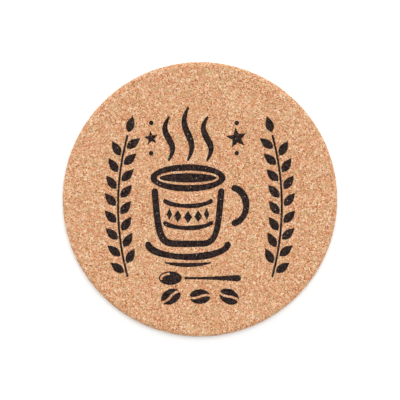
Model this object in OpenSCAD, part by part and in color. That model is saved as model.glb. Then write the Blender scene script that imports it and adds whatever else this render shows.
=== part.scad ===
// A round drink coaster of pressed cork, with a design printed on its upper face in dark ink.
// Millimetres. The origin is the middle of the underside, +Z is up and +Y is the top of the design.
// Every patch of ink is a solid of its own, level with the face, in a shallow pocket of the same outline.

/* [Disc] */
// Diameter of the disc
disc_d = 100; // [80:1:130]
// Thickness of the disc
disc_t = 5; // [3:0.5:10]
// Radius of the rounding round the upper and the lower edge
edge_r = 1.5; // [0.4:0.1:2.4]

/* [Print] */
// Bare cork between the edge of the disc and the design where it comes nearest
bare_rim = 10; // [6:0.5:18]
// How far the middle of the design lies below the middle of the disc
design_drop = 2.4; // [0:0.2:4]
// Depth of the ink
ink_t = 0.2; // [0.1:0.05:0.5]
// Width of the boldest strokes
bold_w = 2.4; // [1.8:0.1:2.8]
// Width of the middling strokes
medium_w = 1.6; // [1.2:0.1:1.9]
// Width of the finest strokes
fine_w = 0.8; // [0.5:0.1:1.1]
// Bare cork between the strokes of one motif
stroke_gap = 0.9; // [0.5:0.1:1.2]
// Bare cork between two motifs
motif_gap = 1.5; // [0.8:0.1:2.5]

/* [Mug] */
// Width of the mug across its rim
mug_w = 25; // [21:0.5:30]
// Height of the mug, from the middle of its rim to its foot
mug_h = 24; // [20:0.5:30]
// Height of the oval that the rim makes
rim_h = 7.6; // [6:0.2:9]
// Height of the handle
handle_h = 13; // [9:0.5:16]
// How far the handle stands out
handle_reach = 5.4; // [4:0.2:8]
// Height of the patterned band
band_h = 8; // [6:0.5:10]

/* [Steam] */
// Height of the middle wisp
steam_h = 19; // [12:0.5:26]
// How much shorter the outer wisps are
steam_step_down = 3.5; // [0:0.5:6]
// Distance from wisp to wisp
steam_pitch = 7; // [6:0.5:9]
// How far a wisp swings to each side
steam_swing = 1.4; // [0.5:0.1:2]

/* [Saucer and spoon] */
// Width of the saucer
saucer_w = 29; // [25:0.5:34]
// Length of the spoon
spoon_l = 30; // [22:0.5:34]
// Length of the spoon's bowl
spoon_bowl_l = 8.4; // [6:0.2:10]
// Width of the spoon's bowl
spoon_bowl_w = 5; // [4.2:0.2:6]

/* [Sprigs] */
// Height of each sprig's stem
sprig_h = 51; // [40:1:60]
// How far each stem bows outward
sprig_bow = 3.4; // [1:0.2:6]
// Length of a leaf
leaf_l = 6.2; // [5:0.1:7.4]
// Width of a leaf
leaf_w = 3.1; // [2.2:0.1:3.7]

/* [Beans, stars and dots] */
// Length of a coffee bean
bean_l = 7.6; // [5.6:0.2:8.8]
// Width of a coffee bean
bean_w = 5.4; // [4:0.2:6.4]
// Size of the larger star, across its points
star_d = 8; // [6:0.2:9.4]
// Size of the smaller star, across its points
small_star_d = 5.4; // [4:0.2:6.4]
// Diameter of a dot
dot_d = 1.7; // [1.2:0.1:2.2]

/* [Hidden] */

cork_colour = [0.86, 0.66, 0.5];
ink_colour = [0.21, 0.17, 0.155];

// How far a cut runs past the face that it opens
overrun = 1;
// The rounding never takes more than this share of the thickness
edge_limit_share = 0.48;
edge_round = min(edge_r, disc_t * edge_limit_share);

// Points round the disc, along a whole oval, along a stroke, along one side of a leaf, round a stroke's end
// and round a dot
disc_steps = 180;
oval_steps = 48;
stroke_steps = 22;
leaf_steps = 7;
end_steps = 5;
dot_steps = 24;

// How much a brushed stroke swells and thins, and how wide a tapered one is at its tips
swell_share = 0.1;
tip_share = 0.35;

// The mug's foot as a share of its rim, and how square its outline is
foot_share = 0.84;
cup_power = 6;
// Where the handle's middle and the band's top lie down the mug
handle_place_share = 0.42;
band_place_share = 0.3;
// The band bends less than the rim, and has its diamonds at these angles of its curve
band_bend_share = 0.8;
band_reach = 66;
diamond_angles = [222, 246, 270, 294, 318];
diamond_w_share = 0.34;
handle_turn = 78;

// How far to each side of its lowest point the saucer's curve runs, and the shorter line under it
saucer_reach = 86;
foot_line_reach = 34;
// Where the shine on the spoon's bowl starts and ends
shine_from = 100;
shine_to = 190;

// A leaf's angle to its stem and where it is widest
leaf_tilt = 40;
leaf_swell = 0.8;
// How far along its own stretch of stem a leaf starts on one side, and short of the stretch's end on the other
leaf_shift_share = 0.25;
// Halves of a coffee bean are parted by a wave of this share of its width
bean_wave_share = 0.1;
bean_tilts = [28, 0, -28];
// The inner corners of a star, and how far each star is turned
star_inner_share = 0.42;
star_turn = 9;
star_corners = 10;

// The mug with its handle is centred on the design
handle_x = mug_w / 2 + bold_w + stroke_gap;
mug_right = handle_x + handle_reach + bold_w / 2;
mug_left = mug_w / 2 + bold_w / 2;
mug_x = (mug_left - mug_right) / 2;
saucer_left = saucer_w / 2 + bold_w / 2 + abs(mug_x);
side_reach = max(mug_right + mug_x, saucer_left, spoon_l / 2);

// The saucer dips far enough to clear the mug's foot
foot_half = mug_w * foot_share / 2;
saucer_half = max(saucer_w / 2, foot_half + bold_w);
saucer_dip = (bold_w + stroke_gap) / sqrt(1 - pow(foot_half / saucer_half, 2));

// Heights of the motifs, worked out from the top of the steam down to the beans
steam_lift = rim_h / 2 + bold_w / 2 + motif_gap;
foot_line_drop = bold_w / 2 + stroke_gap + medium_w / 2;
spoon_drop = saucer_dip + foot_line_drop + medium_w / 2 + motif_gap + spoon_bowl_w / 2;
bean_drop = spoon_drop + spoon_bowl_w / 2 + motif_gap + bean_w / 2;
stack_h = steam_h + steam_lift + mug_h + bean_drop + bean_w / 2;
rim_y = stack_h / 2 - steam_h - steam_lift - design_drop;
foot_y = rim_y - mug_h;
steam_y = rim_y + steam_lift;
spoon_y = foot_y - spoon_drop;
bean_y = foot_y - bean_drop;
bean_pitch = bean_l + 2 * motif_gap;

// Each sprig's stem is an arc beside the mug, and its leaves stand clear of the mug and the saucer
leaf_off = fine_w / 2 + stroke_gap / 2;
leaf_reach = leaf_off + leaf_l * sin(leaf_tilt);
leaf_pitch = (leaf_w + stroke_gap) / sin(leaf_tilt);
stem_x = side_reach + motif_gap + leaf_reach;
stem_r = (pow(sprig_h / 2, 2) + pow(sprig_bow, 2)) / (2 * sprig_bow);
stem_turn = asin(sprig_h / 2 / stem_r);
stem_l = 2 * stem_r * stem_turn * PI / 180;
leaf_count = floor(stem_l / leaf_pitch);

// The larger star stands between the steam and the right sprig, and the smaller one on the left
steam_right = mug_x + steam_pitch + steam_swing + bold_w / 2;
steam_left = mug_x - steam_pitch - steam_swing - bold_w / 2;
star_x = (steam_right + stem_x - leaf_reach) / 2;
small_star_x = (steam_left - stem_x + leaf_reach) / 2;

// The angle along the stem's arc at which leaf i starts on side s
function leaf_angle(i, s) =
    let (place = i + (s > 0 ? 1 - leaf_shift_share : leaf_shift_share))
    stem_turn * (2 * place / (leaf_count + 2 * leaf_shift_share) - 1);

// Direction of a path at its point i
function heading(path, i) =
    let (d = path[min(i + 1, len(path) - 1)] - path[max(i - 1, 0)])
    d / norm(d);

// The point beside point i of a path, at the distance that widths gives there
function beside(path, widths, i, side) =
    let (t = heading(path, i))
    path[i] + side * widths[i] / 2 * [-t.y, t.x];

// The round end of a stroke, about centre c
function round_end(c, r, angle) = [
    for (k = [1:end_steps - 1])
        let (a = angle - 90 + 180 * k / end_steps)
            c + r * [cos(a), sin(a)]
];

// The outline of a stroke along a path, with a width at each of its points and round ends
function stroke_outline(path, widths) =
    let (
        last = len(path) - 1,
        first_t = heading(path, 0),
        last_t = heading(path, last)
    )
    concat(
        [for (i = [0:last]) beside(path, widths, i, -1)],
        round_end(path[last], widths[last] / 2, atan2(last_t.y, last_t.x)),
        [for (i = [last:-1:0]) beside(path, widths, i, 1)],
        round_end(path[0], widths[0] / 2, atan2(-first_t.y, -first_t.x))
    );

// Widths of a brushed stroke, which swells and thins in waves
function brushed(w, waves) = [
    for (i = [0:stroke_steps])
        w * (1 + swell_share * sin(360 * waves * i / stroke_steps))
];

// Widths of a stroke that tapers to both ends
function tapered(w) = [
    for (i = [0:stroke_steps])
        w * (tip_share + (1 - tip_share) * sin(180 * i / stroke_steps))
];

// Points along part of an oval
function oval_arc(rx, ry, from, to, steps = stroke_steps) = [
    for (i = [0:steps])
        let (a = from + (to - from) * i / steps)
            [rx * cos(a), ry * sin(a)]
];

module stroke(path, widths) {
    polygon(stroke_outline(path, widths));
}

module oval(rx, ry) {
    polygon(oval_arc(rx, ry, 0, 360 - 360 / oval_steps, oval_steps - 1));
}

module star(d) {
    polygon([
        for (k = [0:star_corners - 1])
            let (
                r = d / 2 * (k % 2 == 0 ? 1 : star_inner_share),
                a = 90 + star_turn + 360 * k / star_corners
            )
            [r * cos(a), r * sin(a)]
    ]);
}

// The mug, drawn about the middle of its rim

module rim_shape() {
    difference() {
        oval(mug_w / 2 + bold_w / 2, rim_h / 2 + bold_w / 2);
        oval(mug_w / 2 - bold_w / 2, rim_h / 2 - bold_w / 2);
    }
}

module drink_shape() {
    edge = bold_w / 2 + stroke_gap;
    oval(mug_w / 2 - edge, rim_h / 2 - edge);
}

// Half the mug's width at a share of its height below the rim
function mug_half(depth) = mug_w / 2 * (1 - (1 - foot_share) * depth);

// A point on the mug's outline, from its left side through its foot to its right side
function mug_point(a) =
    let (depth = pow(abs(sin(a)), 2 / cup_power))
    [sign(cos(a)) * mug_half(depth) * pow(abs(cos(a)), 2 / cup_power), -mug_h * depth];

// The sides start below the rim's own stroke
rim_rx = mug_w / 2 + bold_w / 2;
rim_ry = rim_h / 2 + bold_w / 2;
side_top = rim_ry * sqrt(1 - pow((rim_rx - bold_w) / rim_rx, 2)) + stroke_gap + bold_w / 2;
side_start = asin(pow(side_top / mug_h, cup_power / 2));

module body_shape() {
    path = [
        for (i = [0:stroke_steps])
            mug_point(180 + side_start + (180 - 2 * side_start) * i / stroke_steps)
    ];
    stroke(path, brushed(bold_w, 1));
}

module handle_shape() {
    translate([handle_x, -mug_h * handle_place_share])
        stroke(oval_arc(handle_reach, handle_h / 2, handle_turn, -handle_turn), brushed(bold_w, 1));
}

// The band's curve bends with the rim and keeps clear of the mug's sides
band_top = mug_h * band_place_share;
band_rx = mug_half((band_top + band_h) / mug_h) - bold_w / 2 - stroke_gap;
band_ry = rim_h / 2 * band_bend_share;

module band_line(w, drop) {
    translate([0, -drop])
        stroke(oval_arc(band_rx, band_ry, 270 - band_reach, 270 + band_reach), brushed(w, 2));
}

module diamonds_shape() {
    tall = (band_h - medium_w) / 2 - stroke_gap;
    wide = band_rx * diamond_w_share / 2;
    for (a = diamond_angles)
        translate([band_rx * cos(a), band_ry * sin(a) - band_top - band_h / 2])
            polygon([[0, -tall], [wide * abs(sin(a)), 0], [0, tall], [-wide * abs(sin(a)), 0]]);
}

module steam_shape(side) {
    tall = steam_h - abs(side) * steam_step_down;
    path = [
        for (i = [0:stroke_steps])
            let (t = i / stroke_steps)
                [side * steam_pitch + steam_swing * sin(360 * t), tall * t]
    ];
    stroke(path, tapered(bold_w));
}

// The saucer and the spoon

module saucer_shape() {
    stroke(oval_arc(saucer_half, saucer_dip, 270 - saucer_reach, 270 + saucer_reach), brushed(bold_w, 2));
}

module saucer_foot_shape() {
    path = oval_arc(saucer_half, saucer_dip, 270 - foot_line_reach, 270 + foot_line_reach);
    translate([0, -foot_line_drop])
        stroke(path, tapered(medium_w));
}

module spoon_bowl_shape() {
    shine_rx = spoon_bowl_l / 2 - stroke_gap;
    shine_ry = spoon_bowl_w / 2 - stroke_gap;
    shine = oval_arc(shine_rx, shine_ry, shine_from, shine_to, leaf_steps);
    translate([spoon_bowl_l / 2 - spoon_l / 2, 0])
        difference() {
            oval(spoon_bowl_l / 2, spoon_bowl_w / 2);
            stroke(shine, [for (p = shine) fine_w]);
        }
}

module spoon_handle_shape() {
    start = spoon_bowl_l - spoon_l / 2 + stroke_gap + fine_w / 2;
    end = spoon_l / 2 - bold_w / 2;
    path = [for (i = [0:stroke_steps]) [start + (end - start) * i / stroke_steps, 0]];
    widths = [for (i = [0:stroke_steps]) fine_w + (bold_w - fine_w) * pow(i / stroke_steps, 2)];
    stroke(path, widths);
}

// The sprigs, drawn for the right side about the middle of the design

function stem_point(a) = [stem_x + sprig_bow + stem_r * (cos(a) - 1), stem_r * sin(a)];

module stem_shape() {
    path = [
        for (i = [0:stroke_steps])
            stem_point(stem_turn * (2 * i / stroke_steps - 1))
    ];
    stroke(path, [for (i = [0:stroke_steps]) fine_w]);
}

module leaf() {
    half = [
        for (i = [0:leaf_steps])
            let (t = i / leaf_steps)
                [leaf_l * t, leaf_w / 2 * sin(180 * pow(t, leaf_swell))]
    ];
    polygon(concat(half, [for (i = [leaf_steps - 1:-1:1]) [half[i].x, -half[i].y]]));
}

module leaves_shape() {
    for (i = [0:leaf_count - 1], s = [-1, 1])
        let (a = leaf_angle(i, s))
            translate(stem_point(a))
                rotate(a + 90)
                    translate([0, s * leaf_off])
                        rotate(s * leaf_tilt)
                            leaf();
    translate(stem_point(stem_turn))
        rotate(stem_turn + 90)
            translate([fine_w / 2 + stroke_gap, 0])
                leaf();
}

// Beans, drawn lying down

module bean_shape() {
    wave = [
        for (i = [0:leaf_steps * 2])
            let (t = i / leaf_steps - 1)
                [t * (bean_l / 2 + fine_w), bean_w * bean_wave_share * sin(180 * t)]
    ];
    difference() {
        oval(bean_l / 2, bean_w / 2);
        stroke(wave, [for (p = wave) fine_w]);
    }
}

module dots_shape() {
    dot_xs = [star_x, small_star_x];
    for (x = dot_xs, s = [-1, 1])
        translate([x, steam_y + (star_d / 2 + motif_gap) * s + star_d])
            circle(d = dot_d, $fn = dot_steps);
}

// Every shape where it lies on the design, whose own middle is the origin

module at_rim() {
    translate([mug_x, rim_y])
        children();
}

module at_foot() {
    translate([mug_x, foot_y])
        children();
}

module mug_rim() { at_rim() rim_shape(); }
module mug_drink() { at_rim() drink_shape(); }
module mug_body() { at_rim() body_shape(); }
module mug_handle() { at_rim() handle_shape(); }
module band_upper() { at_rim() band_line(medium_w, band_top); }
module band_lower() { at_rim() band_line(medium_w, band_top + band_h); }
module band_diamonds() { at_rim() diamonds_shape(); }
module steam(side) { translate([mug_x, steam_y]) steam_shape(side); }
module saucer_edge() { at_foot() saucer_shape(); }
module saucer_foot() { at_foot() saucer_foot_shape(); }
module spoon_bowl() { translate([0, spoon_y]) spoon_bowl_shape(); }
module spoon_handle() { translate([0, spoon_y]) spoon_handle_shape(); }
module sprig_right_stem() { translate([0, -design_drop]) stem_shape(); }
module sprig_right_leaves() { translate([0, -design_drop]) leaves_shape(); }
module sprig_left_stem() { mirror([1, 0]) sprig_right_stem(); }
module sprig_left_leaves() { mirror([1, 0]) sprig_right_leaves(); }
module bean(side) { translate([side * bean_pitch, bean_y]) rotate(bean_tilts[side + 1]) bean_shape(); }
module star_left() { translate([small_star_x, steam_y + star_d]) star(small_star_d); }
module star_right() { translate([star_x, steam_y + star_d]) star(star_d); }

// The whole design, as the pockets are cut to it
module design() {
    mug_rim();
    mug_drink();
    mug_body();
    mug_handle();
    band_upper();
    band_lower();
    band_diamonds();
    for (side = [-1:1]) {
        steam(side);
        bean(side);
    }
    saucer_edge();
    saucer_foot();
    spoon_bowl();
    spoon_handle();
    sprig_left_stem();
    sprig_left_leaves();
    sprig_right_stem();
    sprig_right_leaves();
    star_left();
    star_right();
    dots_shape();
}

// How far the design reaches from the middle of the disc, and the scale that leaves the bare rim round it
design_reach = max([
    norm([stem_x, sprig_h / 2 + stroke_gap + leaf_l - design_drop]),
    norm([stem_x, sprig_h / 2 + design_drop]) + fine_w / 2,
    stem_x + sprig_bow + leaf_reach,
    norm([bean_pitch + bean_l / 2, bean_y]),
    bean_w / 2 - bean_y,
    norm([mug_x, steam_y + steam_h])
]);
print_scale = (disc_d / 2 - bare_rim) / design_reach;

// Half the disc's section: a slab with round edges above and below
module disc_section() {
    inner_r = disc_d / 2 - edge_round;
    square([inner_r, disc_t]);
    translate([0, edge_round])
        square([disc_d / 2, disc_t - 2 * edge_round]);
    for (z = [edge_round, disc_t - edge_round])
        translate([inner_r, z])
            circle(r = edge_round, $fn = oval_steps);
}

// One patch of ink, up to the face, in the outline that its children draw
module ink() {
    color(ink_colour)
        translate([0, 0, disc_t - ink_t])
            linear_extrude(ink_t)
                scale(print_scale)
                    children();
}

module cork_disc() {
    color(cork_colour)
        difference() {
            rotate_extrude($fn = disc_steps)
                disc_section();
            translate([0, 0, disc_t - ink_t])
                linear_extrude(ink_t + overrun)
                    scale(print_scale)
                        design();
        }
}

cork_disc();
ink() mug_rim();  // ink_mug_rim
ink() mug_drink();  // ink_mug_drink
ink() mug_body();  // ink_mug_body
ink() mug_handle();  // ink_mug_handle
ink() band_upper();  // ink_band_upper
ink() band_lower();  // ink_band_lower
ink() band_diamonds();  // ink_band_diamonds
ink() steam(-1);  // ink_steam_left
ink() steam(0);  // ink_steam_middle
ink() steam(1);  // ink_steam_right
ink() saucer_edge();  // ink_saucer_edge
ink() saucer_foot();  // ink_saucer_foot
ink() spoon_bowl();  // ink_spoon_bowl
ink() spoon_handle();  // ink_spoon_handle
ink() sprig_left_stem();  // ink_sprig_left_stem
ink() sprig_left_leaves();  // ink_sprig_left_leaves
ink() sprig_right_stem();  // ink_sprig_right_stem
ink() sprig_right_leaves();  // ink_sprig_right_leaves
ink() bean(-1);  // ink_bean_left
ink() bean(0);  // ink_bean_middle
ink() bean(1);  // ink_bean_right
ink() star_left();  // ink_star_left
ink() star_right();  // ink_star_right
ink() dots_shape();  // ink_dots
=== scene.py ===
# %% [markdown]
# # A cork drink coaster
# The real thing is one disc of pressed cork granules with a design printed on its upper face.
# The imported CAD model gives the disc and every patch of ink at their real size, so this script adds what
# a plain solid lacks: the granules, their pits and seams, the crumbly rounded edge, and ink that follows
# the grain. Everything is in metres, in the frame of the CAD model.

# %% Load the frame
import math
import random

import bpy
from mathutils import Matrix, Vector, noise
from mathutils.geometry import delaunay_2d_cdt


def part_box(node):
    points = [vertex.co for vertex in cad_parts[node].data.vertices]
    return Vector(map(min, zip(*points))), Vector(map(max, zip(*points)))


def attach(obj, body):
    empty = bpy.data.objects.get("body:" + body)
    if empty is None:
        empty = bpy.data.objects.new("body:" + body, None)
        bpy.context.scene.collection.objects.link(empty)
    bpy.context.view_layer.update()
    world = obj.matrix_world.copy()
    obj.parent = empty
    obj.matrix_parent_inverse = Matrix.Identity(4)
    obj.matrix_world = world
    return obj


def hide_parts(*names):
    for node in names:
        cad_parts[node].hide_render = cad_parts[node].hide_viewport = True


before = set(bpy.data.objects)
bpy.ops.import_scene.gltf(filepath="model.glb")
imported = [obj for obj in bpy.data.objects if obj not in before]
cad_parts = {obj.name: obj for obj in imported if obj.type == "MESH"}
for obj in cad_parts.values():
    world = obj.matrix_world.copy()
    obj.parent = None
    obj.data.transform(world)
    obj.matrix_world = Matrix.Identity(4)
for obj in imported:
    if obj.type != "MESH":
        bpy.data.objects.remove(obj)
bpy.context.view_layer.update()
mm = 0.001
seed = 11
random.seed(seed)
noise.seed_set(seed)
print("CAD nodes:", len(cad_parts))

# %% [markdown]
# The disc's size comes from its own CAD solid. The edge's rounding could be typed in again, but it can be
# read off that solid too: the flat face ends where the rounding starts, so the widest vertex at the very top
# gives it. If the solid changes, this script follows.

# %% Measure the disc
same_height = 0.001 * mm
disc_low, disc_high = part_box("cork_disc")
disc_r = (disc_high.x - disc_low.x) / 2
disc_t = disc_high.z
flat_r = max(
    math.hypot(v.co.x, v.co.y)
    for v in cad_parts["cork_disc"].data.vertices
    if v.co.z > disc_t - same_height
)
edge_r = disc_r - flat_r
print(f"disc {2 * disc_r / mm:.1f} mm across, {disc_t / mm:.1f} mm thick, edge rounded {edge_r / mm:.2f} mm")

# %% [markdown]
# A print on cork has slightly ragged edges, because the ink creeps along the granules. The edge could be
# drawn in a picture, but the picture's own squares would show close up, so here it is geometry. Each patch's
# outline is taken from its CAD solid: the edges that only one triangle of the upper side uses. The outline is
# then walked in short steps, and every step is pushed a little by a smooth noise. The noise depends on the
# place alone, so two outlines that run side by side move together and never cross.

# %% Read the outlines of the ink
ink_nodes = sorted(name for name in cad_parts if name.startswith("ink_"))
outline_step = 0.28 * mm
ragged = 0.07 * mm
ragged_size = 0.45 * mm
same_place = 1e-7
faces_up = 0.9


def place_key(co):
    """A place seen from above in whole numbers, so that the corners of two triangles can be compared."""
    return round(co.x / same_place), round(co.y / same_place)


def top_outlines(mesh):
    """The closed outlines of a flat solid's upper side, as lists of points seen from above."""
    # A dictionary keeps its keys in order, so the outlines come in the same order each run
    sides = {}
    for polygon in mesh.polygons:
        if polygon.normal.z < faces_up:
            continue
        keys = [place_key(mesh.vertices[i].co) for i in polygon.vertices]
        sides.update(dict.fromkeys(zip(keys, keys[1:] + keys[:1])))
    follow = {a: b for a, b in sides if (b, a) not in sides}
    loops = []
    while follow:
        start, point = follow.popitem()
        loop = [start]
        while point != start:
            loop.append(point)
            point = follow.pop(point)
        loops.append([Vector(key) * same_place for key in loop])
    return loops


def anticlockwise(loop):
    """The outline, turned round if it runs clockwise, as the outline of a hole does."""
    area = sum(a.cross(b) for a, b in zip(loop, loop[1:] + loop[:1]))
    return loop if area > 0 else loop[::-1]


def ragged_outline(loop):
    """The outline in short steps, each pushed by the noise at its place."""
    points = []
    for a, b in zip(loop, loop[1:] + loop[:1]):
        steps = max(1, round((b - a).length / outline_step))
        points += [a.lerp(b, k / steps) for k in range(steps)]
    push = [noise.noise_vector(Vector((*p, 0)) / ragged_size) * ragged for p in points]
    return anticlockwise([p + q.xy for p, q in zip(points, push)])


outlines = {
    name: [ragged_outline(loop) for loop in top_outlines(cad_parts[name].data)]
    for name in ink_nodes
}
print("ink patches:", sum(len(loops) for loops in outlines.values()), "outlines")

# %% [markdown]
# The upper face of the real disc is one surface of cork, inked in places. Here it is laid out as one net of
# small triangles, in which every outline of the ink is also a line of edges. The ink could be a second shape
# laid over the cork, but then the two would cut through each other wherever the cork is bumpy. Blender's
# constrained triangulation makes the shared net from a loose grid of points and the outlines, and it says
# which outlines hold each triangle. So a film of ink can follow every bump with no gap and no overlap.

# %% Lay out the upper face
grain_step = 0.4 * mm
jitter_share = 0.22
row_share = math.sqrt(3) / 2
inside_only = 1
weld = 1e-4


def face_points():
    """A loose triangular grid of points over the flat of the face."""
    rows = math.ceil(flat_r / (grain_step * row_share))
    for row in range(-rows, rows + 1):
        shift = 0.5 * (row % 2)
        for column in range(-rows - 1, rows + 2):
            x = (column + shift + random.uniform(-jitter_share, jitter_share)) * grain_step
            y = (row + random.uniform(-jitter_share, jitter_share)) * grain_step * row_share
            if math.hypot(x, y) < flat_r - grain_step / 2:
                yield Vector((x, y))


def triangulate(points, regions):
    """Triangles over the regions, which keep their outlines as edges. The points come back in millimetres."""
    # The triangulation works best on numbers near 1, so it gets millimetres
    return delaunay_2d_cdt([p / mm for p in points], [], regions, inside_only, weld, True)


ring_count = round(2 * math.pi * disc_r / grain_step)
ring_angles = [2 * math.pi * k / ring_count for k in range(ring_count)]
points = [flat_r * Vector((math.cos(a), math.sin(a))) for a in ring_angles]
points += list(face_points())
regions = [list(range(ring_count))]
owners = ["cork_disc"]
for name in ink_nodes:
    for loop in outlines[name]:
        regions.append(list(range(len(points), len(points) + len(loop))))
        owners.append(name)
        points += loop
flat_points, _, triangles, _, _, held_by = triangulate(points, regions)
flat_points = [p * mm for p in flat_points]
print("face net:", len(flat_points), "points,", len(triangles), "triangles")

# %% [markdown]
# The triangles are now shared out: each goes to the patch of ink that holds it, and the rest stay bare cork.
# Some patches have a hole, whose outline belongs to the same patch, so a triangle in the hole is held twice.
# Counting is then enough: held an odd number of times is ink, and an even number is cork.

# %% Share out the triangles
def owner_of(held):
    """The patch of ink that holds a triangle, or None where the cork is bare."""
    names = [owners[k] for k in held if owners[k] != "cork_disc"]
    return next((name for name in names if names.count(name) % 2), None)


patches = {name: [] for name in ink_nodes}
for triangle, held in zip(triangles, held_by):
    owner = owner_of(held)
    if owner:
        patches[owner].append(triangle)
print("inked:", {name: len(patch) for name, patch in patches.items()})

# %% [markdown]
# Round its face the real disc has a rounded upper edge, a short wall and a rounded lower edge. A bevel would
# round a plain disc, but it would also change the points of the net. Rings of faces keep them: each ring has
# as many points as the net's own border, so the two join point for point.

# %% Close the edge
round_steps = 6
wall_steps = round((disc_t - 2 * edge_r) / grain_step)
border_reach = 0.01 * mm


def edge_profile():
    """Radius and height of each ring from just below the upper face to the underside's border."""
    for k in range(1, round_steps + 1):
        a = math.pi / 2 * (1 - k / round_steps)
        yield flat_r + edge_r * math.cos(a), disc_t - edge_r + edge_r * math.sin(a)
    for k in range(1, wall_steps):
        yield disc_r, disc_t - edge_r - (disc_t - 2 * edge_r) * k / wall_steps
    for k in range(round_steps + 1):
        a = math.pi / 2 * k / round_steps
        yield flat_r + edge_r * math.cos(a), edge_r - edge_r * math.sin(a)


def angle_of(index):
    return math.atan2(flat_points[index].y, flat_points[index].x)


on_border = [i for i, p in enumerate(flat_points) if p.length > flat_r - border_reach]
border = sorted(on_border, key=angle_of)
blank_points = [(p.x, p.y, disc_t) for p in flat_points]
blank_faces = [tuple(t) for t in triangles]
above = border
for radius, height in edge_profile():
    first = len(blank_points)
    for a in map(angle_of, border):
        blank_points.append((radius * math.cos(a), radius * math.sin(a), height))
    below = list(range(first, len(blank_points)))
    for k in range(len(border)):
        j = (k + 1) % len(border)
        blank_faces.append((above[k], below[k], below[j], above[j]))
    above = below
print("edge:", len(border), "points to a ring,", len(blank_faces) - len(triangles), "faces")

# %% [markdown]
# The underside is the same cork without a print, and it is only seen when the coaster is lifted. It could
# have the same net as the face, but a coarser one does there. Its border is the last ring of the edge, so the
# mesh closes with no gap.

# %% Close the underside
under_step = 0.8 * mm
under_rows = math.ceil(flat_r / under_step)
under_points = [Vector(blank_points[i][:2]) for i in above]
for row in range(-under_rows, under_rows + 1):
    for column in range(-under_rows, under_rows + 1):
        p = Vector((column + 0.5 * (row % 2), row * row_share)) * under_step
        if p.length < flat_r - under_step / 2:
            under_points.append(p)
under_region = list(range(len(border)))
under_flat, _, under_triangles, under_from, _, _ = triangulate(under_points, [under_region])
blank_index = {}
for new, old in enumerate(under_from):
    if old and old[0] < len(border):
        blank_index[new] = above[old[0]]
    else:
        blank_index[new] = len(blank_points)
        blank_points.append((under_flat[new].x * mm, under_flat[new].y * mm, 0))
blank_faces += [tuple(blank_index[i] for i in reversed(t)) for t in under_triangles]

cork_mesh = bpy.data.meshes.new("cork")
cork_mesh.from_pydata(blank_points, [], blank_faces)
cork_mesh.polygons.foreach_set("use_smooth", [True] * len(cork_mesh.polygons))
cork = bpy.data.objects.new("pressed_cork", cork_mesh)
bpy.context.scene.collection.objects.link(cork)
print("blank:", len(cork_mesh.vertices), "points,", len(cork_mesh.polygons), "faces")

# %% [markdown]
# When a material is baked to a picture, the surface has to be laid out flat. Blender's own layout would break
# a bumpy surface into thousands of scraps. A disc is simple to lay out, all at one scale: the upper
# face is one round, the underside is another, and the edge is a long strip, cut in five to fit in a corner.

# %% Lay the surface out flat
map_r = 0.29
upper_middle = Vector((0.293, 0.293))
under_middle = Vector((0.707, 0.707))
strip_count = 5
strip_high = 0.66
strip_pitch = 0.06
strip_start = 0.012


def flat_places():
    """The place on the map of each corner of each face, in order."""
    scale = map_r / flat_r
    strip_w = 2 * math.pi * disc_r * scale / strip_count
    down = [0.0]
    profile = [(flat_r, disc_t), *edge_profile()]
    for a, b in zip(profile, profile[1:]):
        down.append(down[-1] + math.dist(a, b) * scale)
    count = len(border)
    for number, face in enumerate(blank_faces):
        ring_number, k = divmod(number - len(triangles), count)
        if ring_number < 0:
            yield from (upper_middle + Vector(blank_points[i][:2]) * scale for i in face)
        elif ring_number < len(down) - 1:
            strip, along = divmod(k * strip_count, count)
            left = strip_start + strip_w * along / count
            right = left + strip_w * strip_count / count
            strip_top = strip_high + strip * strip_pitch
            top = strip_top - down[ring_number]
            bottom = strip_top - down[ring_number + 1]
            yield from ((left, top), (left, bottom), (right, bottom), (right, top))
        else:
            # The underside is seen from below, so it is mirrored
            seen = (Vector((-blank_points[i][0], blank_points[i][1])) for i in face)
            yield from (under_middle + p * scale for p in seen)


layout = cork_mesh.uv_layers.new(name="OFBake")
layout.uv.foreach_set("vector", [c for place in flat_places() for c in place])
print("layout:", len(layout.uv), "corners placed")

# %% [markdown]
# Relief and colour are both built from nodes, small steps that each work out one value for every point of the
# surface. Nodes can be placed by hand in Blender's editor, but in a script a few short helpers keep the
# recipe readable. They work in a Geometry Nodes tree and in a material alike.

# %% Helpers that add nodes
def add(tree, kind, inputs=None, **settings):
    """A node with its settings and inputs: a value is set on the socket, and a node's socket is linked."""
    node = tree.nodes.new(kind)
    for key, value in settings.items():
        setattr(node, key, value)
    for key, value in (inputs or {}).items():
        if isinstance(value, bpy.types.NodeSocket):
            tree.links.new(value, node.inputs[key])
        else:
            node.inputs[key].default_value = value
    return node


def math_node(tree, operation, a, b=0.0, c=0.0, clamp=False):
    """The result of a sum. The third number counts in MULTIPLY_ADD alone, which gives a * b + c."""
    return add(tree, "ShaderNodeMath", {0: a, 1: b, 2: c}, operation=operation, use_clamp=clamp).outputs[0]


def vector_node(tree, operation, inputs):
    return add(tree, "ShaderNodeVectorMath", inputs, operation=operation).outputs


def separate_vector(tree, vector):
    return add(tree, "ShaderNodeSeparateXYZ", {0: vector}).outputs


def between(tree, value, at_0, at_1):
    """0 on the far side of one limit, 1 on the far side of the other, and a smooth step between them."""
    node = add(tree, "ShaderNodeMapRange", {"Value": value, "From Min": at_0, "From Max": at_1})
    node.interpolation_type = "SMOOTHSTEP"
    return node.outputs["Result"]


def cells(tree, place, size, feature="F1"):
    """The sockets of a Voronoi pattern with cells of about the given size."""
    return add(tree, "ShaderNodeTexVoronoi", {"Vector": place, "Scale": 1 / size}, feature=feature).outputs


def clouds(tree, place, size, detail):
    """The sockets of a soft noise with lumps of about the given size."""
    return add(tree, "ShaderNodeTexNoise", {"Vector": place, "Scale": 1 / size, "Detail": detail}).outputs
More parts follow.
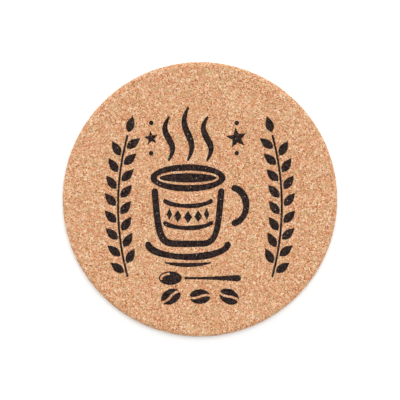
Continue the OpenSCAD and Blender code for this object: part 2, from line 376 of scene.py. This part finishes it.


# %% [markdown]
# Several marks on cork are scattered spots: chips, flecks and specks, and the ink's pale specks, which are
# pinholes and painted glints. Each could be placed one by one, but a Voronoi pattern scatters them for
# nothing. Every cell has a random number, so a share of the cells can be picked, and a distance from its
# middle, so the middle of each becomes a spot.

# %% A mask of scattered spots
# The step lies past 1, so that a share of 0 picks no cell at all
pick_step = (1.02, 1.04)


def spots(tree, place, size, share, reach, soft):
    """1 in the middle of the picked cells, falling to 0 at the reach, over the soft part of the way."""
    spot = cells(tree, place, size)
    number = separate_vector(tree, spot["Color"])["X"]
    picked = between(tree, number, pick_step[0] - share, pick_step[1] - share)
    return math_node(tree, "MULTIPLY", between(tree, spot["Distance"], reach, reach - soft), picked)


# %% [markdown]
# Cork granules are irregular crumbs of about half a millimetre to two millimetres, pressed together with a
# binder. A Voronoi pattern makes cells of that kind, and bending its space with a noise takes away their
# straight sides. The seams are the borders of the cells. Where the binder is missing, which a slower noise
# says, a seam opens to a pit. Cutting the disc out breaks granules away, so chips come along the edge alone.
# The same pattern is wanted twice, once to shape the mesh and once to colour it, so that a pit in the colour
# is a pit in the surface. One function therefore builds its nodes in either kind of tree.

# %% The granule pattern
granule_size = 0.8 * mm
crumb_size = 0.33 * mm
bend_size = 0.55 * mm
bend_detail = 1.0
bend = 0.1 * mm
seam_reach = 0.26
gap_size = 0.9 * mm
gap_detail = 2.0
gap_limits = (0.52, 0.66)
chip_spots = {"size": 1.9 * mm, "share": 0.35, "reach": 0.48, "soft": 0.3}
chip_band = edge_r / 3


def bent_place(tree, place):
    """The place, pushed a little to and fro by a noise."""
    push = clouds(tree, place, bend_size, bend_detail)["Color"]
    centred = vector_node(tree, "SUBTRACT", {0: push, 1: (0.5, 0.5, 0.5)})[0]
    pushed = vector_node(tree, "SCALE", {0: centred, "Scale": 2 * bend})[0]
    return vector_node(tree, "ADD", {0: place, 1: pushed})[0]


def near_edge(tree, place):
    """0 on the face, 1 on the rounding and the wall, from the distance to the disc's axis."""
    level = vector_node(tree, "MULTIPLY", {0: place, 1: (1.0, 1.0, 0.0)})[0]
    from_axis = vector_node(tree, "LENGTH", {0: level})["Value"]
    return between(tree, from_axis, flat_r - chip_band, flat_r + chip_band)


def granules(tree, place):
    """The sockets of the pressed granules at a place: random numbers per cell, and masks from 0 to 1."""
    bent = bent_place(tree, place)
    seam = between(tree, cells(tree, bent, granule_size, "DISTANCE_TO_EDGE")["Distance"], seam_reach, 0.0)
    gap = between(tree, clouds(tree, bent, gap_size, gap_detail)["Fac"], *gap_limits)
    return {
        "bent": bent,
        "cell": separate_vector(tree, cells(tree, bent, granule_size)["Color"]),
        "crumb": separate_vector(tree, cells(tree, bent, crumb_size)["Color"]),
        "seam": seam,
        "pit": math_node(tree, "MULTIPLY", seam, gap),
        "chip": math_node(tree, "MULTIPLY", spots(tree, bent, **chip_spots), near_edge(tree, place)),
    }


# %% [markdown]
# On the real disc each granule stands at a height of its own, because soft and hard cork sand down
# differently, and the seams, pits and chips are lower. This could be a bump in the material, but then the
# outline would stay smooth and the mesh flat. Geometry Nodes press the pattern into the mesh instead, always
# inward along the normal, so the disc never grows past its real size. The film's thickness is pressed in
# everywhere, which leaves room for the ink. The result is applied, so any program can read the mesh.

# %% Press the granules into the mesh
level_depth = 0.04 * mm
seam_depth = 0.05 * mm
pit_depth = 0.22 * mm
chip_depth = 0.28 * mm
film_t = 0.03 * mm


def relief_tree():
    tree = bpy.data.node_groups.new("cork_relief", "GeometryNodeTree")
    tree.interface.new_socket("Geometry", in_out="INPUT", socket_type="NodeSocketGeometry")
    tree.interface.new_socket("Geometry", in_out="OUTPUT", socket_type="NodeSocketGeometry")
    start = add(tree, "NodeGroupInput")
    place = add(tree, "GeometryNodeInputPosition").outputs[0]
    normal = add(tree, "GeometryNodeInputNormal").outputs["Normal"]
    pattern = granules(tree, place)
    depth = math_node(tree, "MULTIPLY_ADD", pattern["cell"]["Z"], level_depth, film_t)
    for mark, deepest in (("seam", seam_depth), ("pit", pit_depth), ("chip", chip_depth)):
        depth = math_node(tree, "ADD", depth, math_node(tree, "MULTIPLY", pattern[mark], deepest))
    inward = math_node(tree, "MULTIPLY", depth, -1.0)
    offset = vector_node(tree, "SCALE", {0: normal, "Scale": inward})[0]
    moved = add(tree, "GeometryNodeSetPosition", {"Geometry": start.outputs[0], "Offset": offset})
    end = add(tree, "NodeGroupOutput")
    tree.links.new(moved.outputs[0], end.inputs[0])
    return tree


pressing = cork.modifiers.new("granules", "NODES")
pressing.node_group = relief_tree()
pressed = bpy.data.meshes.new_from_object(cork.evaluated_get(bpy.context.evaluated_depsgraph_get()))
cork.modifiers.clear()
cork.data = pressed
pressed.name = "cork"
depths = [disc_t - pressed.vertices[i].co.z for i in range(len(flat_points))]
print(f"relief of the face: {min(depths) / mm:.3f} to {max(depths) / mm:.3f} mm")
print(f"mean depth: {sum(depths) / len(depths) / mm:.3f} mm")

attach(cork, "root")
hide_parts("cork_disc")

# %% [markdown]
# The real print is a film of ink some hundredths of a millimetre thick. It could be a colour on the cork, but
# each patch of the CAD model is a piece of its own, so each gets a film of its own, cut from the pressed net.
# Its upper side lies a little above the cork, its lower side about as far below, and a wall joins the two
# along the outline. It is a closed solid, so the print can be taken off or coloured patch by patch.

# %% Lay the films of ink
film_above = 0.8 * film_t


def film_mesh(name, patch):
    used = sorted({i for t in patch for i in t})
    number = {old: new for new, old in enumerate(used)}
    count = len(used)
    upper = [pressed.vertices[i].co + Vector((0, 0, film_above)) for i in used]
    lower = [pressed.vertices[i].co - Vector((0, 0, film_t)) for i in used]
    faces = [tuple(number[i] for i in t) for t in patch]
    sides = {(a, b) for t in faces for a, b in zip(t, t[1:] + t[:1])}
    walls = [(b, a, a + count, b + count) for a, b in sides if (b, a) not in sides]
    under = [tuple(i + count for i in reversed(t)) for t in faces]
    mesh = bpy.data.meshes.new(name)
    mesh.from_pydata(upper + lower, [], faces + under + sorted(walls))
    mesh.polygons.foreach_set("use_smooth", [True] * len(faces) * 2 + [False] * len(walls))
    return mesh


films = []
for name, patch in patches.items():
    film_name = name.replace("ink_", "print_")
    film = bpy.data.objects.new(film_name, film_mesh(film_name, patch))
    bpy.context.scene.collection.objects.link(film)
    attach(film, "root")
    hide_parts(name)
    films.append(film)
print("films:", len(films), "with", sum(len(film.data.polygons) for film in films), "faces")

# %% [markdown]
# A material starts as one shader, which says how light leaves the surface, and its inputs are fed by nodes.
# Pictures could feed them too, but a picture has an end and a size, and nodes have neither. Cork and ink are
# both matt, with grit finer than the mesh can hold, so that grit alone is bump. Both materials get it from
# one helper, along with a roughness that differs from crumb to crumb and hardly any shine.

# %% Helpers for the materials
grit_detail = 3.0


def new_material(name):
    material = bpy.data.materials.new(name)
    material.use_nodes = True
    tree = material.node_tree
    tree.nodes.clear()
    shader = add(tree, "ShaderNodeBsdfPrincipled")
    add(tree, "ShaderNodeOutputMaterial", {"Surface": shader.outputs[0]})
    return material, tree, shader


def ramp(tree, fac, stops):
    """A colour ramp through (position, (r, g, b)) stops."""
    node = add(tree, "ShaderNodeValToRGB", {"Fac": fac})
    elements = node.color_ramp.elements
    while len(elements) < len(stops):
        elements.new(0.5)
    for element, (position, colour) in zip(elements, stops):
        element.position = position
        element.color = (*colour, 1)
    return node.outputs["Color"]


def mix(tree, fac, a, b, blend="MIX"):
    """Colour a turned towards colour b by the factor."""
    node = add(tree, "ShaderNodeMix", data_type="RGBA", blend_type=blend)
    # A Mix node has sockets for each kind of value: 0 is the factor, 6 and 7 are its colours
    for key, value in ((0, fac), (6, a), (7, b)):
        if isinstance(value, bpy.types.NodeSocket):
            tree.links.new(value, node.inputs[key])
        else:
            node.inputs[key].default_value = value if key == 0 else (*value, 1)
    return node.outputs[2]


def tinted(tree, colour, tints):
    """The colour after each (mask, strength, tint) in turn."""
    for mask, strength, tint in tints:
        colour = mix(tree, math_node(tree, "MULTIPLY", mask, strength), colour, tint)
    return colour


def matt_surface(tree, shader, place, pattern, grit_size, bump, bump_depth, rough, shine):
    """Fine grit that is lower along the seams, and a roughness of each crumb's own."""
    grit = clouds(tree, place, grit_size, grit_detail)["Fac"]
    height = math_node(tree, "SUBTRACT", grit, pattern["seam"])
    bumps = add(tree, "ShaderNodeBump", {"Height": height, "Strength": bump, "Distance": bump_depth})
    tree.links.new(bumps.outputs[0], shader.inputs["Normal"])
    roughness = {"Value": pattern["crumb"]["Z"], "To Min": rough[0], "To Max": rough[1]}
    crumb_rough = add(tree, "ShaderNodeMapRange", roughness)
    tree.links.new(crumb_rough.outputs["Result"], shader.inputs["Roughness"])
    shader.inputs["Specular IOR Level"].default_value = shine


# %% [markdown]
# Cork is a mix of warm tans. Each fine crumb has a tone of its own, from dark to pale, and leans a trace to
# green or to pink. Patches of about a millimetre lean to olive or to russet. Some slivers are long and pale,
# some crumbs are dark bark, and the binder is brown in the seams. The pits and the chips are darkened with
# the same brown, as painted shade in these hollows. One ramp of tans could do for all of it, but cork of one
# hue looks like plastic. So the ramp gives the tone of each crumb, and each other mark is a mask that mixes
# one tint in. The last tints lie over the first.

# %% The cork's marks
cork_tones = [
    (0.0, (0.413, 0.122, 0.036)),
    (0.25, (0.666, 0.304, 0.14)),
    (0.5, (0.835, 0.474, 0.259)),
    (0.75, (0.938, 0.634, 0.394)),
    (1.0, (0.972, 0.80, 0.57)),
]
greenish = (0.95, 1.0, 0.85)
pinkish = (1.0, 0.88, 0.99)
olive = (0.60, 0.42, 0.20)
russet = (0.78, 0.36, 0.18)
cream = (0.95, 0.77, 0.56)
bark = (0.28, 0.05, 0.008)
# The binder's own brown in the seams; in the pits and the chips the same brown is painted shade
binder_and_shade = (0.42, 0.13, 0.045)
fleck_slants = (20, 80, 140)
fleck_narrow = 1.5
fleck_spots = {"size": 1.6 * mm, "share": 0.07, "reach": 0.42, "soft": 0.1}
speck_spots = {"size": 0.95 * mm, "share": 0.6, "reach": 0.28, "soft": 0.1}


def flecks(tree, place):
    """A mask of long flecks that lie at several slants."""
    mask = 0.0
    for slant in fleck_slants:
        turn = {"Vector": place, "Angle": math.radians(slant)}
        turned = add(tree, "ShaderNodeVectorRotate", turn, rotation_type="Z_AXIS").outputs[0]
        squeezed = vector_node(tree, "MULTIPLY", {0: turned, 1: (1.0, fleck_narrow, fleck_narrow)})[0]
        mask = math_node(tree, "MAXIMUM", spots(tree, squeezed, **fleck_spots), mask)
    return mask


print("cork tones:", len(cork_tones), "and flecks at", len(fleck_slants), "slants")

# %% [markdown]
# The tone of a crumb comes from two random numbers: the granule's own, which counts a little, and the
# crumb's, which counts most. Each has a share of the ramp's length, and the middle of the ramp is the mean.
# With a share past 1 some crumbs fall off both ends of the ramp, which gives the darkest and the palest tone
# more crumbs than the others. A number of patches of their own size says where olive and russet lie.

# %% The cork material
cell_share = 0.1
crumb_share = 1.08
tone_start = 0.5 - (cell_share + crumb_share) / 2
hue_size = 1.15 * mm
olive_from = (0.78, 0.82)
russet_from = (0.22, 0.18)
olive_strength = 0.4
russet_strength = 0.5
cream_strength = 0.75
seam_strength = 0.2
bark_strength = 0.8
# Painted shade: how far the pits are darkened
pit_shade_strength = 0.5
# Painted shade: how far the chips along the edge are darkened
chip_shade_strength = 0.2
cork_finish = {
    "grit_size": 0.25 * mm,
    "bump": 0.5,
    "bump_depth": 0.05 * mm,
    "rough": (0.62, 0.92),
    "shine": 0.1,
}


def cork_material():
    material, tree, shader = new_material("pressed_cork")
    place = add(tree, "ShaderNodeTexCoord").outputs["Object"]
    pattern = granules(tree, place)
    bent, crumb = pattern["bent"], pattern["crumb"]
    tone = math_node(tree, "MULTIPLY_ADD", pattern["cell"]["X"], cell_share, tone_start)
    tone = math_node(tree, "ADD", tone, math_node(tree, "MULTIPLY", crumb["X"], crumb_share))
    trace = ramp(tree, crumb["Y"], [(0.0, greenish), (1.0, pinkish)])
    colour = mix(tree, 1.0, ramp(tree, tone, cork_tones), trace, "MULTIPLY")
    hue = separate_vector(tree, cells(tree, bent, hue_size)["Color"])["X"]
    colour = tinted(tree, colour, [
        (between(tree, hue, *olive_from), olive_strength, olive),
        (between(tree, hue, *russet_from), russet_strength, russet),
        (flecks(tree, bent), cream_strength, cream),
        (pattern["seam"], seam_strength, binder_and_shade),
        (spots(tree, bent, **speck_spots), bark_strength, bark),
        # Painted shade in the pits
        (pattern["pit"], pit_shade_strength, binder_and_shade),
        # Painted shade in the chips
        (pattern["chip"], chip_shade_strength, binder_and_shade),
    ])
    tree.links.new(colour, shader.inputs["Base Color"])
    matt_surface(tree, shader, place, pattern, **cork_finish)
    return material


cork.data.materials.append(cork_material())
print("cork material:", len(cork.data.materials[0].node_tree.nodes), "nodes")

# %% [markdown]
# The ink is a warm near-black, matt and a little grainy. It lies thinner on some crumbs than on others, has
# pale specks, partly pinholes that never closed and partly painted glints of its sheen on the grain, and
# misses some of the pits, so the cork shows there as tiny specks. One flat black would look like a sticker.
# The same granule pattern drives the ink, so it varies with the cork.

# %% The ink material
ink_black = (0.004, 0.0028, 0.0024)
ink_thin = (0.071, 0.044, 0.040)
bare_cork = (0.60, 0.34, 0.19)
# Pale specks in the ink: partly pinholes, partly painted glints
pinhole_and_glint_pale = (0.70, 0.54, 0.41)
missed_limits = (0.5, 0.8)
missed_strength = 0.1
pinhole_and_glint_strength = 0.62
pinhole_and_glint_spots = {"size": 1.1 * mm, "share": 0.22, "reach": 0.18, "soft": 0.04}
ink_finish = {
    "grit_size": 0.3 * mm,
    "bump": 0.6,
    "bump_depth": 0.06 * mm,
    "rough": (0.5, 0.85),
    "shine": 0.05,
}


def ink_material():
    material, tree, shader = new_material("screen_ink")
    place = add(tree, "ShaderNodeTexCoord").outputs["Object"]
    pattern = granules(tree, place)
    crumb = pattern["crumb"]
    thin = math_node(tree, "MULTIPLY", crumb["X"], crumb["X"])
    colour = tinted(tree, mix(tree, thin, ink_black, ink_thin), [
        (between(tree, pattern["pit"], *missed_limits), missed_strength, bare_cork),
        # Pale specks: pinholes and painted glints
        (spots(tree, pattern["bent"], **pinhole_and_glint_spots), pinhole_and_glint_strength, pinhole_and_glint_pale),
    ])
    tree.links.new(colour, shader.inputs["Base Color"])
    matt_surface(tree, shader, place, pattern, **ink_finish)
    return material


ink = ink_material()
for film in films:
    film.data.materials.append(ink)
print("ink material:", len(ink.node_tree.nodes), "nodes on", len(films), "films")

# %% [markdown]
# The coaster lies on a white sheet. The floor is a plain pale plane, which keeps the shadow. More light would
# whiten the sheet, but it would bleach the cork too. So only what the camera sees of the sheet is lifted, by
# a little emission on the camera's own rays and on those that a reflection or glass sends on.

# %% The floor
floor_half = 3.0
paper = (0.90, 0.93, 0.94)
paper_rough = 0.9
paper_lift = 0.13
white = (1, 1, 1, 1)
corners = ((-1, -1), (1, -1), (1, 1), (-1, 1))
floor_mesh = bpy.data.meshes.new("floor")
floor_mesh.from_pydata([(x * floor_half, y * floor_half, 0) for x, y in corners], [], [(0, 1, 2, 3)])
floor = bpy.data.objects.new("floor", floor_mesh)
bpy.context.scene.collection.objects.link(floor)


def seen_share(tree):
    """1 on the rays that show the background, straight or by a reflection or glass, and 0 on the others."""
    rays = add(tree, "ShaderNodeLightPath").outputs
    seen = math_node(tree, "MAXIMUM", rays["Is Camera Ray"], rays["Is Glossy Ray"])
    return math_node(tree, "MAXIMUM", seen, rays["Is Transmission Ray"])


def floor_material():
    material, tree, shader = new_material("white_paper")
    shader.inputs["Base Color"].default_value = (*paper, 1)
    shader.inputs["Roughness"].default_value = paper_rough
    shader.inputs["Specular IOR Level"].default_value = 0.0
    shader.inputs["Emission Color"].default_value = white
    lift = math_node(tree, "MULTIPLY", seen_share(tree), paper_lift)
    tree.links.new(lift, shader.inputs["Emission Strength"])
    return material


floor.data.materials.append(floor_material())
print("floor:", 2 * floor_half, "m square")

# %% [markdown]
# Soft daylight comes from all round, and it grows steeply towards the horizon, as in a white room. The room
# is brighter beyond the top of the picture, where its window is, so the rounding that faces the window is
# bright and the one turned away is dark. Area lamps close by could do that, but a sky of nodes lights every
# copy of the coaster alike, wherever it stands. Each level is what that light adds to a level white surface,
# and with the high light below the levels add up to about 1, so a colour renders about as it is written.

# %% The light from all round
world_level = 0.4
horizon_share = 0.31
window_lean = 1.13
glow_power = 4.0
# Over a level surface, (1 - up) to a power p averages to 2 / ((p + 1) * (p + 2)), so this makes it count as 1
glow_scale = (glow_power + 1) * (glow_power + 2) / 2
world = bpy.data.worlds.new("studio")
bpy.context.scene.world = world
world.use_nodes = True


def light_world(tree):
    """White to the camera. For all other rays, an even part and a part that grows towards the horizon."""
    background = tree.nodes["Background"]
    background.inputs["Color"].default_value = white
    part = separate_vector(tree, add(tree, "ShaderNodeTexCoord").outputs["Generated"])
    low = math_node(tree, "SUBTRACT", 1.0, part["Z"], clamp=True)
    low = math_node(tree, "POWER", low, glow_power)
    glow = math_node(tree, "MULTIPLY", low, glow_scale * world_level * horizon_share)
    towards_window = math_node(tree, "MULTIPLY_ADD", part["Y"], window_lean, 1.0)
    glow = math_node(tree, "MULTIPLY", glow, towards_window)
    light = math_node(tree, "ADD", glow, world_level * (1 - horizon_share))
    seen = seen_share(tree)
    unseen = math_node(tree, "SUBTRACT", 1.0, seen)
    strength = math_node(tree, "ADD", seen, math_node(tree, "MULTIPLY", light, unseen))
    tree.links.new(strength, background.inputs["Strength"])


light_world(world.node_tree)
print("level of the light from all round:", world_level)

# %% [markdown]
# Light from all round alone leaves the coaster without a shadow below it. A high light, as of a bright
# ceiling by the window, leans the same way and a little to the right, and gives the short shadow under the
# lower edge. It could be a point, but then the shadow's border would be hard. So it is wide.

# %% The high light
high_direction = (0.045, 0.175, 1.0)
high_width = 40
high_level = 0.625


def soft_sun(name, direction, width, level):
    """A soft lamp far away that lights a level white surface to the given level."""
    towards = Vector(direction).normalized()
    data = bpy.data.lights.new(name, "SUN")
    data.angle = math.radians(width)
    data.energy = level * math.pi / towards.z
    lamp = bpy.data.objects.new(name, data)
    lamp.rotation_euler = towards.to_track_quat("Z", "Y").to_euler()
    bpy.context.scene.collection.objects.link(lamp)


soft_sun("high_light", high_direction, high_width, high_level)
print("both levels together:", world_level + high_level)

# %% [markdown]
# The photograph looks straight down. A long lens keeps the disc's sides out of sight, and its distance
# follows from the disc's real radius and its radius in the picture.

# %% The camera
picture_size = 400
picture_disc_r = 137.45
picture_disc_x = 199.45
picture_disc_y = 198.8
picture_middle = (picture_size - 1) / 2
lens = 150
sensor = 36
widest_z = disc_t - edge_r
pixel = disc_r / picture_disc_r
camera_data = bpy.data.cameras.new("camera")
camera_data.lens = lens
camera_data.sensor_width = sensor
camera = bpy.data.objects.new("camera", camera_data)
distance = pixel * picture_size * lens / sensor
camera.location = (
    (picture_middle - picture_disc_x) * pixel,
    (picture_disc_y - picture_middle) * pixel,
    widest_z + distance,
)
bpy.context.scene.collection.objects.link(camera)
bpy.context.scene.camera = camera
bpy.context.scene.view_settings.view_transform = "Standard"
print(f"camera {distance:.3f} m above the disc, {pixel / mm:.3f} mm to a pixel")
